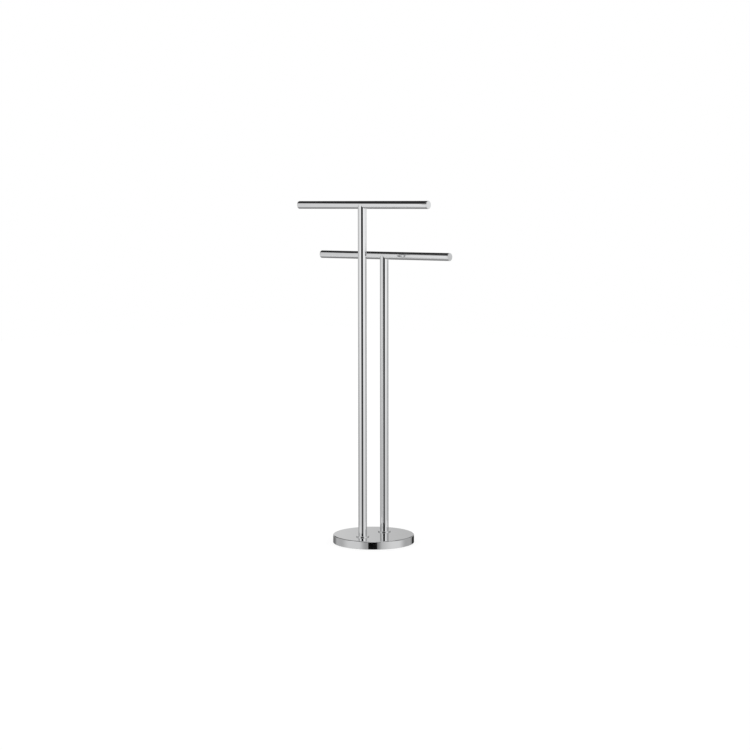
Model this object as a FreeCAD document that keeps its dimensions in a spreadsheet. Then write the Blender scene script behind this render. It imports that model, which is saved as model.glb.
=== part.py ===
"""Freestanding towel stand: a tall and a low T-shaped upright side by side on one round weighted base.

Lengths are millimetres, +Z is up and the origin is the middle of the base on the floor. The rails run
along X. The tall upright stands at -Y and the low one at +Y.

How it is put together: each upright is clamped by one tie rod. The rod screws into a barrel nut inside
the rail, runs down through the post, the collar and the base, and is pulled tight by a nut in a pocket
under the base. The post's upper end is cut to a saddle that the rail lies in. The base is a chromed
shell over an iron ballast disc, with a rubber pad below.
"""

import FreeCAD, Part
import math
import os
import re

import Sketcher

PARTS_FOLDER = "parts"
SHEET = "Size"

# The driving dimensions: name, size and meaning. Each can be changed by itself.
DIMENSIONS = [
    ("tall_rail_height", 872.0, "floor to the axis of the tall upright's rail"),
    ("low_rail_height", 742.0, "floor to the axis of the low upright's rail"),
    ("post_spacing", 90.0, "axis to axis of the two posts"),
    ("rail_length", 420.0, "over both end caps"),
    ("rail_diameter", 20.0, "outside of the rail tube"),
    ("rail_wall", 1.5, "wall of the rail tube"),
    ("post_diameter", 22.0, "outside of the post tube"),
    ("post_wall", 1.5, "wall of the post tube"),
    ("cap_head", 3.0, "thickness of an end cap outside the rail tube"),
    ("cap_plug", 12.0, "length of an end cap inside the rail tube"),
    ("cap_wall", 2.0, "wall of the hollow part of an end cap"),
    ("cap_edge_radius", 0.8, "rounding of an end cap's rim"),
    ("base_diameter", 210.0, "outside of the base shell"),
    ("base_height", 21.0, "floor to the top of the base shell"),
    ("shell_wall", 1.5, "sheet thickness of the base shell"),
    ("shell_edge_radius", 2.5, "rounding of the base shell's upper edge"),
    ("shell_lift", 0.5, "floor to the base shell's lower edge"),
    ("pad_thickness", 3.0, "rubber pad under the base"),
    ("pad_margin", 2.0, "from the base shell's inner wall to the pad"),
    ("pocket_roof", 4.0, "iron left over a nut pocket"),
    ("pocket_margin", 3.0, "round a washer in its nut pocket"),
    ("access_margin", 2.0, "round a nut pocket in the pad"),
    ("collar_lip", 5.5, "from the post to the collar's rim"),
    ("collar_height", 2.5, "thickness of the collar"),
    ("collar_recess", 1.0, "depth of the collar's seat for the post"),
    ("collar_edge_radius", 0.6, "rounding of the collar's upper edge"),
    ("bush_length", 25.0, "foot bush inside the post"),
    ("spigot_diameter", 14.0, "foot bush where it locates in the base"),
    ("spigot_reach", 2.0, "depth of the spigot in the ballast"),
    ("saddle_plug_length", 18.0, "plug in the post below the rail"),
    ("barrel_length", 30.0, "barrel nut inside the rail"),
    ("rod_diameter", 8.0, "tie rod"),
    ("rod_in_rail", 6.0, "tie rod above the rail's axis"),
    ("rod_past_nut", 0.5, "tie rod below its nut"),
    ("nut_across_flats", 13.0, "hexagon nut"),
    ("nut_height", 6.5, "hexagon nut"),
    ("washer_diameter", 24.0, "wide flat washer"),
    ("washer_thickness", 2.0, "wide flat washer"),
    ("spring_ring_width", 3.2, "width of the spring washer's section"),
    ("spring_ring_thickness", 2.0, "thickness of the spring washer's section"),
    ("spring_slot", 1.5, "slot in the spring washer"),
    ("edge_break", 0.8, "chamfer on turned ends"),
    ("seat_gap", 0.05, "between the rail and its saddle"),
    ("fit_gap", 0.05, "round each turned piece in its bore"),
    ("thread_gap", 0.05, "round the tie rod in its threads"),
    ("rod_gap", 0.25, "round the tie rod in its clearance holes"),
    ("ballast_gap", 0.3, "round the ballast in the base shell"),
    ("least_radius", 0.3, "smallest inner rounding of the base shell"),
]

# Sizes and places that follow from the driving dimensions.
DERIVED = {
    "rail_bore": "rail_diameter - 2 * rail_wall",
    "post_bore": "post_diameter - 2 * post_wall",
    "rail_tube_length": "rail_length - 2 * cap_head",
    "saddle_diameter": "rail_diameter + 2 * seat_gap",
    "rod_hole": "rod_diameter + 2 * rod_gap",
    "rod_thread_hole": "rod_diameter + 2 * thread_gap",
    "shell_bore": "base_diameter - 2 * shell_wall",
    "shell_height": "base_height - shell_lift",
    "spigot_hole": "spigot_diameter + 2 * fit_gap",
    "ballast_height": "base_height - shell_wall - pad_thickness",
    "nut_pocket": "washer_diameter + 2 * pocket_margin",
    "nut_pocket_roof": "base_height - shell_wall - pocket_roof",
    "spring_washer_level": "nut_pocket_roof - washer_thickness - spring_ring_thickness",
    "nut_level": "spring_washer_level - nut_height",
    "rod_foot": "nut_level - rod_past_nut",
    "post_foot": "base_height + collar_height - collar_recess",
    "collar_diameter": "post_diameter + 2 * collar_lip",
    "spigot_length": "collar_height - collar_recess + shell_wall + spigot_reach",
}

# Each upright: the height of its rail's axis and its place along Y.
UPRIGHTS = {
    "tall": ("tall_rail_height", "-post_spacing / 2"),
    "low": ("low_rail_height", "post_spacing / 2"),
}

# Each end of a rail: which way it points along X, and its turn about Z in degrees.
RAIL_ENDS = {"left": ("-", 180), "right": ("", 0)}

ORIGIN = FreeCAD.Vector(0, 0, 0)
UP = FreeCAD.Vector(0, 0, 1)
SMALL = 1e-4


# ---- The document and its sheet ----


def make_sheet(document):
    """Puts the driving dimensions in the document's sheet, one named cell each."""
    sheet = document.addObject("Spreadsheet::Sheet", SHEET)
    for row, (name, size, meaning) in enumerate(DIMENSIONS, start=1):
        sheet.set(f"A{row}", name)
        sheet.set(f"B{row}", str(size))
        sheet.set(f"C{row}", meaning)
        sheet.setAlias(f"B{row}", name)
    document.recompute()
    return sheet


def formula(text):
    """The expression, in cells of the sheet, for a formula written with the names of sizes."""
    names = {name for name, _, _ in DIMENSIONS}

    def written_out(match):
        word = match.group(0)
        if word in DERIVED:
            return f"({formula(DERIVED[word])})"
        return f"{SHEET}.{word}" if word in names else word

    return re.sub(r"[a-z_]+", written_out, text)


def value(text):
    """What a formula comes to, in millimetres."""
    return float(sheet.evalExpression(formula(text)))


def bind(thing, **formulas):
    """Ties properties to formulas, such as Length="rail_bore / 2"."""
    for name, text in formulas.items():
        thing.setExpression(name, formula(text))


# ---- Sketches ----


def new_body(label):
    """An empty body whose label is the sub-part's name."""
    body = doc.addObject("PartDesign::Body", label)
    body.Label = label
    return body


def place(body, across="0", back="0", up="0", turn=0):
    """Puts a body at formulas for X, Y and Z, turned about Z by a number of degrees."""
    body.Placement = FreeCAD.Placement(ORIGIN, FreeCAD.Rotation(UP, turn))
    for axis, text in (("x", across), ("y", back), ("z", up)):
        body.setExpression(f"Placement.Base.{axis}", formula(text))


def sketch_on(body, plane_role, name):
    """An empty sketch on one of the body's own origin planes."""
    sketch = body.newObject("Sketcher::SketchObject", name)
    plane = next(p for p in body.Origin.OriginFeatures if p.Role == plane_role)
    sketch.AttachmentSupport = (plane, "")
    sketch.MapMode = "FlatFace"
    return sketch


def hold(sketch, kind, text, *where):
    """Adds a constraint whose size is a formula."""
    index = sketch.addConstraint(Sketcher.Constraint(kind, *where, value(text)))
    sketch.setExpression(f"Constraints[{index}]", formula(text))


def hold_point(sketch, geometry, point, across, up):
    """Holds a point of a sketch at two formulas; "0" puts it on the sketch's axis."""
    for kind, axis, text in (("DistanceX", -2, across), ("DistanceY", -1, up)):
        if text == "0":
            sketch.addConstraint(Sketcher.Constraint("PointOnObject", geometry, point, axis))
        else:
            hold(sketch, kind, text, geometry, point)


def circle(sketch, diameter, across="0", up="0"):
    """Draws a circle, with formulas for its diameter and its centre."""
    centre = FreeCAD.Vector(value(across), value(up), 0)
    index = sketch.addGeometry(Part.Circle(centre, UP, value(diameter) / 2), False)
    hold(sketch, "Diameter", diameter, index)
    hold_point(sketch, index, 3, across, up)


def two_circles(sketch, diameter):
    """Draws a circle round the axis of each post, on a sketch that lies flat."""
    for _, along in UPRIGHTS.values():
        circle(sketch, diameter, up=along)


def outline(sketch, corners):
    """Draws a closed outline through corners, each a pair of formulas."""
    points = [FreeCAD.Vector(value(across), value(up), 0) for across, up in corners]
    lines = [
        sketch.addGeometry(Part.LineSegment(start, end), False)
        for start, end in zip(points, points[1:] + points[:1])
    ]
    for line, following in zip(lines, lines[1:] + lines[:1]):
        sketch.addConstraint(Sketcher.Constraint("Coincident", line, 2, following, 1))
    for line, (across, up) in zip(lines, corners):
        hold_point(sketch, line, 1, across, up)


def hexagon(sketch, across_flats):
    """Draws a regular hexagon with one corner on the X axis."""
    corner_circle = f"{across_flats} / cos(30)"
    radius = value(across_flats) / 2 / math.cos(math.radians(30))
    turns = [math.radians(60 * corner) for corner in range(6)]
    points = [FreeCAD.Vector(radius * math.cos(a), radius * math.sin(a), 0) for a in turns]
    sides = [
        sketch.addGeometry(Part.LineSegment(start, end), False)
        for start, end in zip(points, points[1:] + points[:1])
    ]
    guide = sketch.addGeometry(Part.Circle(ORIGIN, UP, radius), True)
    hold(sketch, "Diameter", corner_circle, guide)
    sketch.addConstraint(Sketcher.Constraint("Coincident", guide, 3, -1, 1))
    for side, following in zip(sides, sides[1:] + sides[:1]):
        sketch.addConstraint(Sketcher.Constraint("Coincident", side, 2, following, 1))
    for side in sides:
        sketch.addConstraint(Sketcher.Constraint("PointOnObject", side, 1, guide))
    for side in sides[1:]:
        sketch.addConstraint(Sketcher.Constraint("Equal", sides[0], side))
    sketch.addConstraint(Sketcher.Constraint("PointOnObject", sides[0], 1, -1))


# ---- Features ----


def pad(body, sketch, length, symmetric=False, downward=False):
    """Adds material: along the sketch's normal, against it, or to both sides."""
    feature = body.newObject("PartDesign::Pad", f"{sketch.Name}_pad")
    feature.Profile = sketch
    feature.SideType = "Symmetric" if symmetric else "One side"
    feature.Reversed = downward
    bind(feature, Length=length)
    sketch.Visibility = False
    doc.recompute()
    return feature


def pocket(body, sketch, depth=None, symmetric=False, upward=False):
    """Cuts against the sketch's normal, along it, or to both sides; right through without a depth."""
    feature = body.newObject("PartDesign::Pocket", f"{sketch.Name}_pocket")
    feature.Profile = sketch
    feature.SideType = "Symmetric" if symmetric else "One side"
    feature.Reversed = upward
    if depth is None:
        feature.Type = "ThroughAll"
    else:
        bind(feature, Length=depth)
    sketch.Visibility = False
    doc.recompute()
    return feature


def groove(body, sketch):
    """Cuts the sketch's outline all round the Z axis."""
    feature = body.newObject("PartDesign::Groove", f"{sketch.Name}_groove")
    feature.Profile = sketch
    feature.ReferenceAxis = (sketch, ["V_Axis"])
    feature.Angle = 360
    sketch.Visibility = False
    doc.recompute()
    return feature


def round_edges(feature, diameter, axis, level):
    """Names of the feature's full circles of one diameter at one level along an axis of the body."""
    found = []
    for number, edge in enumerate(feature.Shape.Edges, start=1):
        if not isinstance(edge.Curve, Part.Circle) or not edge.Closed:
            continue
        right_size = abs(edge.Curve.Radius * 2 - value(diameter)) < SMALL
        right_place = abs(getattr(edge.Curve.Center, axis) - value(level)) < SMALL
        if right_size and right_place:
            found.append(f"Edge{number}")
    if not found:
        raise RuntimeError(f"{feature.Name} has no edge of diameter {diameter} at {axis} {level}")
    return found


def fillet(body, feature, edges, radius):
    """Rounds edges of a feature."""
    rounding = body.newObject("PartDesign::Fillet", f"{feature.Name}_fillet")
    rounding.Base = (feature, edges)
    bind(rounding, Radius=radius)
    doc.recompute()
    return rounding


def chamfer(body, feature, edges, size):
    """Chamfers edges of a feature."""
    bevel = body.newObject("PartDesign::Chamfer", f"{feature.Name}_chamfer")
    bevel.Base = (feature, edges)
    bind(bevel, Size=size)
    doc.recompute()
    return bevel


# ---- The base ----


def make_base_shell():
    """The chromed shell: a drawn disc with a rim, rounded above, with a hole for each spigot."""
    body = new_body("base_shell")
    outside = sketch_on(body, "XY_Plane", "shell_outside")
    circle(outside, "base_diameter")
    pad(body, outside, "shell_height")
    inside = sketch_on(body, "XY_Plane", "shell_inside")
    circle(inside, "shell_bore")
    cup = pocket(body, inside, depth="shell_height - shell_wall", upward=True)
    outer_edge = round_edges(cup, "base_diameter", "z", "shell_height")
    rounded = fillet(body, cup, outer_edge, "shell_edge_radius")
    inner_edge = round_edges(rounded, "shell_bore", "z", "shell_height - shell_wall")
    fillet(body, rounded, inner_edge, "max(shell_edge_radius - shell_wall; least_radius)")
    holes = sketch_on(body, "XY_Plane", "shell_spigot_holes")
    two_circles(holes, "spigot_hole")
    pocket(body, holes, upward=True)
    place(body, up="shell_lift")


def make_base_ballast():
    """The iron disc under the shell, with the spigots' seats above and the nuts' pockets below."""
    body = new_body("base_ballast")
    outside = sketch_on(body, "XY_Plane", "ballast_outside")
    circle(outside, "shell_bore - 2 * ballast_gap")
    disc = pad(body, outside, "ballast_height")
    upper_edge = round_edges(disc, "shell_bore - 2 * ballast_gap", "z", "ballast_height")
    chamfer(body, disc, upper_edge, "shell_edge_radius")
    rod_holes = sketch_on(body, "XY_Plane", "ballast_rod_holes")
    two_circles(rod_holes, "rod_hole")
    pocket(body, rod_holes, upward=True)
    nut_pockets = sketch_on(body, "XY_Plane", "ballast_nut_pockets")
    two_circles(nut_pockets, "nut_pocket")
    pocket(body, nut_pockets, depth="ballast_height - pocket_roof", upward=True)
    seats = sketch_on(body, "XY_Plane", "ballast_spigot_seats")
    bind(seats, **{"AttachmentOffset.Base.z": "ballast_height"})
    two_circles(seats, "spigot_hole")
    pocket(body, seats, depth="spigot_reach")
    place(body, up="pad_thickness")


def make_base_pad():
    """The rubber pad that the stand rests on, open below the nuts."""
    body = new_body("base_pad")
    outside = sketch_on(body, "XY_Plane", "pad_outside")
    circle(outside, "shell_bore - 2 * pad_margin")
    two_circles(outside, "nut_pocket + 2 * access_margin")
    pad(body, outside, "pad_thickness")


# ---- An upright, from the rail down to the nut ----


def make_rail(side, height, along):
    """The rail tube, with the tie rod's hole in the middle of its underside."""
    body = new_body(f"{side}_rail")
    section = sketch_on(body, "YZ_Plane", f"{side}_rail_section")
    circle(section, "rail_diameter")
    circle(section, "rail_bore")
    pad(body, section, "rail_tube_length", symmetric=True)
    hole = sketch_on(body, "XY_Plane", f"{side}_rail_rod_hole")
    circle(hole, "rod_hole")
    pocket(body, hole)
    place(body, back=along, up=height)


def make_rail_cap(side, height, along, end):
    """An end cap: a rounded head over the tube's end and a hollow plug pressed inside it."""
    sign, turn = RAIL_ENDS[end]
    name = f"{side}_rail_cap_{end}"
    body = new_body(name)
    head_face = sketch_on(body, "YZ_Plane", f"{name}_head")
    circle(head_face, "rail_diameter")
    head = pad(body, head_face, "cap_head")
    rim = round_edges(head, "rail_diameter", "x", "cap_head")
    fillet(body, head, rim, "cap_edge_radius")
    plug_face = sketch_on(body, "YZ_Plane", f"{name}_plug")
    circle(plug_face, "rail_bore - 2 * fit_gap")
    circle(plug_face, "rail_bore - 2 * fit_gap - 2 * cap_wall")
    plug = pad(body, plug_face, "cap_plug", downward=True)
    lead = round_edges(plug, "rail_bore - 2 * fit_gap", "x", "-cap_plug")
    chamfer(body, plug, lead, "edge_break")
    place(body, across=f"{sign}rail_tube_length / 2", back=along, up=height, turn=turn)


def make_barrel_nut(side, height, along):
    """The barrel nut inside the rail, with the tie rod's thread across it."""
    body = new_body(f"{side}_barrel_nut")
    section = sketch_on(body, "YZ_Plane", f"{side}_barrel_section")
    circle(section, "rail_bore - 2 * fit_gap")
    barrel = pad(body, section, "barrel_length", symmetric=True)
    ends = [
        edge
        for level in ("-barrel_length / 2", "barrel_length / 2")
        for edge in round_edges(barrel, "rail_bore - 2 * fit_gap", "x", level)
    ]
    chamfer(body, barrel, ends, "edge_break")
    thread = sketch_on(body, "XY_Plane", f"{side}_barrel_thread")
    circle(thread, "rod_thread_hole")
    pocket(body, thread, symmetric=True)
    place(body, back=along, up=height)


def cut_saddle(body, axis_level):
    """Cuts the rail's round out of the upper end of a body, at a level in the body's own frame."""
    saddle = sketch_on(body, "YZ_Plane", f"{body.Label}_saddle")
    circle(saddle, "saddle_diameter", up=axis_level)
    pocket(body, saddle, symmetric=True)


def make_post(side, height, along):
    """The post tube, from its seat in the collar to the rail's axis, cut to a saddle."""
    body = new_body(f"{side}_post")
    section = sketch_on(body, "XY_Plane", f"{side}_post_section")
    circle(section, "post_diameter")
    circle(section, "post_bore")
    pad(body, section, f"{height} - post_foot")
    cut_saddle(body, f"{height} - post_foot")
    place(body, back=along, up="post_foot")


def make_saddle_plug(side, height, along):
    """The plug brazed in the post's upper end, which bears the rail and guides the tie rod."""
    body = new_body(f"{side}_saddle_plug")
    section = sketch_on(body, "XY_Plane", f"{side}_plug_section")
    circle(section, "post_bore - 2 * fit_gap")
    circle(section, "rod_hole")
    pad(body, section, "saddle_plug_length + rail_diameter / 2")
    cut_saddle(body, "saddle_plug_length + rail_diameter / 2")
    place(body, back=along, up=f"{height} - rail_diameter / 2 - saddle_plug_length")


def make_foot_bush(side, along):
    """The bush in the post's foot, whose spigot passes the collar and the shell into the ballast."""
    body = new_body(f"{side}_foot_bush")
    barrel_face = sketch_on(body, "XY_Plane", f"{side}_bush_barrel")
    circle(barrel_face, "post_bore - 2 * fit_gap")
    pad(body, barrel_face, "bush_length")
    spigot_face = sketch_on(body, "XY_Plane", f"{side}_bush_spigot")
    circle(spigot_face, "spigot_diameter")
    spigot = pad(body, spigot_face, "spigot_length", downward=True)
    top = round_edges(spigot, "post_bore - 2 * fit_gap", "z", "bush_length")
    chamfer(body, spigot, top, "edge_break")
    bore = sketch_on(body, "XY_Plane", f"{side}_bush_bore")
    circle(bore, "rod_hole")
    pocket(body, bore, symmetric=True)
    place(body, back=along, up="post_foot")


def make_collar(side, along):
    """The flat ring at the post's foot, with a shallow seat for the tube."""
    body = new_body(f"{side}_collar")
    outside = sketch_on(body, "XY_Plane", f"{side}_collar_outside")
    circle(outside, "collar_diameter")
    circle(outside, "spigot_hole")
    ring = pad(body, outside, "collar_height")
    upper_edge = round_edges(ring, "collar_diameter", "z", "collar_height")
    fillet(body, ring, upper_edge, "collar_edge_radius")
    seat = sketch_on(body, "XY_Plane", f"{side}_collar_seat")
    bind(seat, **{"AttachmentOffset.Base.z": "collar_height"})
    circle(seat, "post_diameter + 2 * fit_gap")
    pocket(body, seat, depth="collar_recess")
    place(body, back=along, up="base_height")


def make_tie_rod(side, height, along):
    """The rod that clamps the upright, from just under its nut to above the rail's axis."""
    body = new_body(f"{side}_tie_rod")
    section = sketch_on(body, "XY_Plane", f"{side}_rod_section")
    circle(section, "rod_diameter")
    length = f"{height} + rod_in_rail - rod_foot"
    rod = pad(body, section, length)
    ends = [edge for level in ("0", length) for edge in round_edges(rod, "rod_diameter", "z", level)]
    chamfer(body, rod, ends, "edge_break")
    place(body, back=along, up="rod_foot")


def make_washer(side, along):
    """The wide washer against the roof of the nut pocket."""
    body = new_body(f"{side}_washer")
    section = sketch_on(body, "XY_Plane", f"{side}_washer_section")
    circle(section, "washer_diameter")
    circle(section, "rod_hole")
    pad(body, section, "washer_thickness")
    place(body, back=along, up="nut_pocket_roof - washer_thickness")


def make_spring_washer(side, along):
    """The split washer under the wide one, as it lies when the nut is tight."""
    body = new_body(f"{side}_spring_washer")
    section = sketch_on(body, "XY_Plane", f"{side}_spring_section")
    circle(section, "rod_hole + 2 * spring_ring_width")
    circle(section, "rod_hole")
    pad(body, section, "spring_ring_thickness")
    slot = sketch_on(body, "XY_Plane", f"{side}_spring_slot")
    past_ring = "rod_hole / 2 + 2 * spring_ring_width"
    outline(
        slot,
        [
            ("0", "-spring_slot / 2"),
            (past_ring, "-spring_slot / 2"),
            (past_ring, "spring_slot / 2"),
            ("0", "spring_slot / 2"),
        ],
    )
    pocket(body, slot, upward=True)
    place(body, back=along, up="spring_washer_level")


def make_nut(side, along):
    """The hexagon nut, with its corners turned off below."""
    body = new_body(f"{side}_nut")
    section = sketch_on(body, "XY_Plane", f"{side}_nut_section")
    hexagon(section, "nut_across_flats")
    circle(section, "rod_thread_hole")
    pad(body, section, "nut_height")
    corner = "nut_across_flats / cos(30) / 2 + edge_break"
    cut = sketch_on(body, "XZ_Plane", f"{side}_nut_corners")
    outline(
        cut,
        [
            ("nut_across_flats / 2", "0"),
            (corner, "0"),
            (corner, f"({corner} - nut_across_flats / 2) * tan(30)"),
        ],
    )
    groove(body, cut)
    place(body, back=along, up="nut_level")


def make_upright(side):
    """Every piece of one upright."""
    height, along = UPRIGHTS[side]
    make_rail(side, height, along)
    for end in RAIL_ENDS:
        make_rail_cap(side, height, along, end)
    make_barrel_nut(side, height, along)
    make_post(side, height, along)
    make_saddle_plug(side, height, along)
    make_foot_bush(side, along)
    make_collar(side, along)
    make_tie_rod(side, height, along)
    make_washer(side, along)
    make_spring_washer(side, along)
    make_nut(side, along)


# ---- Checks and files ----


def check_document(document):
    """Stops the build if any object failed, a cut removed nothing or a body is not one solid."""
    for thing in document.Objects:
        if {"Invalid", "Error"} & set(thing.State):
            raise RuntimeError(f"{thing.Name} failed: {thing.State}")
        if thing.TypeId in ("PartDesign::Pocket", "PartDesign::Groove"):
            removed = thing.BaseFeature.Shape.Volume - thing.Shape.Volume
            if removed < SMALL:
                raise RuntimeError(f"{thing.Name} cuts nothing")
        if thing.TypeId == "PartDesign::Body":
            shape = thing.Shape
            if shape.isNull() or not shape.isValid() or len(shape.Solids) != 1:
                raise RuntimeError(f"{thing.Label} is not one valid solid")


def write_parts(document):
    """Writes each body to a file of its label."""
    os.makedirs(PARTS_FOLDER, exist_ok=True)
    for thing in document.Objects:
        if thing.TypeId == "PartDesign::Body":
            thing.Shape.exportStep(f"{PARTS_FOLDER}/{thing.Label}.step")
            print(f"{thing.Label}: {thing.Shape.Volume:.0f} mm3")


doc = FreeCAD.newDocument("towel_stand")
sheet = make_sheet(doc)
make_base_shell()
make_base_ballast()
make_base_pad()
for upright in UPRIGHTS:
    make_upright(upright)
doc.recompute()
check_document(doc)
write_parts(doc)
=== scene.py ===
"""Freestanding towel stand: a tall and a low chromed T-shaped upright on one round weighted base.

Lengths are metres, +Z is up and the origin is the middle of the base on the floor. The rails run along
X, the tall upright stands at -Y and the low one at +Y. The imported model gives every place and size.
This file makes the polished outer pieces as fine smooth surfaces, gives every piece its finish, and
sets up the studio.
"""

import logging
import math
from dataclasses import dataclass, field
from enum import Enum
from typing import Any, ClassVar, Sequence

import bmesh
import bpy
import numpy as np
from mathutils import Matrix, Vector
from numpy.typing import NDArray

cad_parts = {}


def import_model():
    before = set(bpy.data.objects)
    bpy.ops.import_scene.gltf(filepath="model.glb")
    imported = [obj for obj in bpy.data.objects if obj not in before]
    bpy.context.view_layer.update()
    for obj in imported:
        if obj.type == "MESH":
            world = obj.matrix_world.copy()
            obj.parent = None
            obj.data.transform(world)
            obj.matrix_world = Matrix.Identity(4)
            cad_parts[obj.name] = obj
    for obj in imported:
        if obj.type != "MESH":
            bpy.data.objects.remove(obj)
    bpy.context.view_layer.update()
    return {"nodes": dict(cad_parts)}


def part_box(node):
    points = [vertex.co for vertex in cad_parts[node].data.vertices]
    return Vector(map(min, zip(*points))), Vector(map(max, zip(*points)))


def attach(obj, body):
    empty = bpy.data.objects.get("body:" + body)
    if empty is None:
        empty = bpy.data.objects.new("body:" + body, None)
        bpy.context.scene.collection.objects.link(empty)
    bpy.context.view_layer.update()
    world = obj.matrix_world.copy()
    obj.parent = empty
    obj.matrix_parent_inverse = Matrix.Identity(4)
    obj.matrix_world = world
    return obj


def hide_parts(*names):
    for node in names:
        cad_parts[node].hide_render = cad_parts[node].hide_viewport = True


Array = NDArray[np.float64]
Pair = tuple[float, float]
Triple = tuple[float, float, float]
Socket = bpy.types.NodeSocket
Source = Socket | bpy.types.Node | Sequence[float] | float
Skin = tuple[Socket, Socket, Socket]
log = logging.getLogger("towel_stand")

MM = 0.001
BODY = "root"
# Points of a mesh that are nearer than this become one.
WELD_DISTANCE = 1e-7
# The least turn and length at a corner, so that a corner on a straight line is no division by zero.
STRAIGHT = 1e-6
# Edges that turn by more than this are shaded as sharp.
SHARP_ANGLE = math.radians(40)
# Most of a noise pattern's values lie between these.
NOISE_RANGE: Pair = (0.3, 0.7)
HALF_TURN = 180.0


class Side(Enum):
    """The two uprights, by the first word of their node names."""

    TALL = "tall"
    LOW = "low"


class RailEnd(Enum):
    """The two ends of a rail: the last word of their node names, and the way they face along X."""

    LEFT = ("left", -1.0)
    RIGHT = ("right", 1.0)


class Slot(Enum):
    """The record's material slots."""

    CHROME = "polished_chrome"
    TURNED = "turned_steel"
    ZINC = "zinc_plated_steel"
    IRON = "ballast_iron"
    RUBBER = "black_rubber"


# ---- Shapes ----


def rounded_section(corners: Array, radii: Array, steps: int, closed: bool, support: float) -> Array:
    """Rounds the corners of an outline in a plane.

    Each corner becomes an arc that touches both of its sides: the arc's ends lie radius / tan(half
    angle) from the corner, and its points turn evenly from one end to the other round the arc's centre.
    A point is added at a short distance past each end of an arc, but never past the middle of the run
    there, so that shading stays flat on the straight runs.

    Args:
        corners: The outline's corners, one row each.
        radii: A radius for each corner, 0 for a sharp one.
        steps: How many points each arc has.
        closed: Whether the last corner is joined to the first. If not, the two stay as they are.
        support: How far past an arc's ends the added points lie.

    Returns:
        The outline's points, one row each.
    """
    before = np.roll(corners, 1, axis=0) - corners
    after = np.roll(corners, -1, axis=0) - corners
    before_length = np.linalg.norm(before, axis=1, keepdims=True)
    after_length = np.linalg.norm(after, axis=1, keepdims=True)
    before = before / before_length
    after = after / after_length
    half = np.arccos(np.clip((before * after).sum(1, keepdims=True), -1, 1)) / 2
    radius = radii[:, None]
    reach = radius / np.tan(half)
    bisector = before + after
    bisector = bisector / np.maximum(np.linalg.norm(bisector, axis=1, keepdims=True), STRAIGHT)
    centre = corners + bisector * radius / np.sin(half)
    turn = np.maximum(np.pi - 2 * half, STRAIGHT)
    part = np.linspace(0, 1, steps)[None, :, None]
    start = (corners + before * reach - centre)[:, None, :]
    end = (corners + after * reach - centre)[:, None, :]
    swing = turn[:, :, None]
    swept = np.sin((1 - part) * swing) * start + np.sin(part * swing) * end
    arcs = centre[:, None, :] + swept / np.sin(swing)
    lead_in = corners + before * np.clip(before_length / 2, reach, reach + support)
    lead_out = corners + after * np.clip(after_length / 2, reach, reach + support)
    runs = np.concatenate([lead_in[:, None, :], arcs, lead_out[:, None, :]], axis=1)
    if closed:
        return runs.reshape(-1, 2)
    return np.concatenate([corners[:1], runs[1:-1].reshape(-1, 2), corners[-1:]])


def turned_surface(section: Array, segments: int) -> Array:
    """Carries an outline of (radius, height) round the Z axis.

    A point at radius r and height h goes to (r cos a, r sin a, h) for each angle a of a full turn.

    Args:
        section: The outline, one (radius, height) row per point.
        segments: How many steps the turn has.

    Returns:
        A grid of points: outline by turn by (x, y, z).
    """
    angle = np.linspace(0, 2 * np.pi, segments, endpoint=False)
    radius, height = section[:, :1], section[:, 1:]
    level = np.broadcast_to(height, (len(section), segments))
    return np.stack([radius * np.cos(angle), radius * np.sin(angle), level], axis=-1)


def lay_along_x(grid: Array) -> Array:
    """Turns a surface's own Z axis to the X axis: (x, y, z) goes to (z, x, y)."""
    return grid[..., [2, 0, 1]]


def mesh_piece(name: str, grid: Array, closed: bool, at: Array) -> bpy.types.Object:
    """Makes an object from a grid of points that goes right round in its second direction.

    Args:
        name: The piece's name.
        grid: Outline by turn by (x, y, z).
        closed: Whether the outline is joined up too. If not, its two ends are poles on the axis.
        at: Where the grid's own origin goes.

    Returns:
        The object, at the origin, with smooth faces that point outwards.
    """
    rows, columns = grid.shape[:2]
    points = (grid + at).reshape(-1, 3)
    row = np.arange(rows if closed else rows - 1)[:, None]
    column = np.arange(columns)[None, :]
    next_row, next_column = (row + 1) % rows, (column + 1) % columns
    corners = [
        row * columns + column,
        row * columns + next_column,
        next_row * columns + next_column,
        next_row * columns + column,
    ]
    faces = np.stack(np.broadcast_arrays(*corners), axis=-1).reshape(-1, 4)
    mesh = bpy.data.meshes.new(name)
    mesh.from_pydata(points.tolist(), [], faces.tolist())
    work = bmesh.new()
    work.from_mesh(mesh)
    bmesh.ops.remove_doubles(work, verts=work.verts, dist=WELD_DISTANCE)
    if work.calc_volume(signed=True) < 0:
        bmesh.ops.reverse_faces(work, faces=work.faces)
    work.to_mesh(mesh)
    work.free()
    mesh.polygons.foreach_set("use_smooth", np.ones(len(mesh.polygons), bool))
    mesh.set_sharp_from_angle(angle=SHARP_ANGLE)
    piece = bpy.data.objects.new(name, mesh)
    bpy.context.scene.collection.objects.link(piece)
    return piece


# ---- Finishes ----


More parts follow.
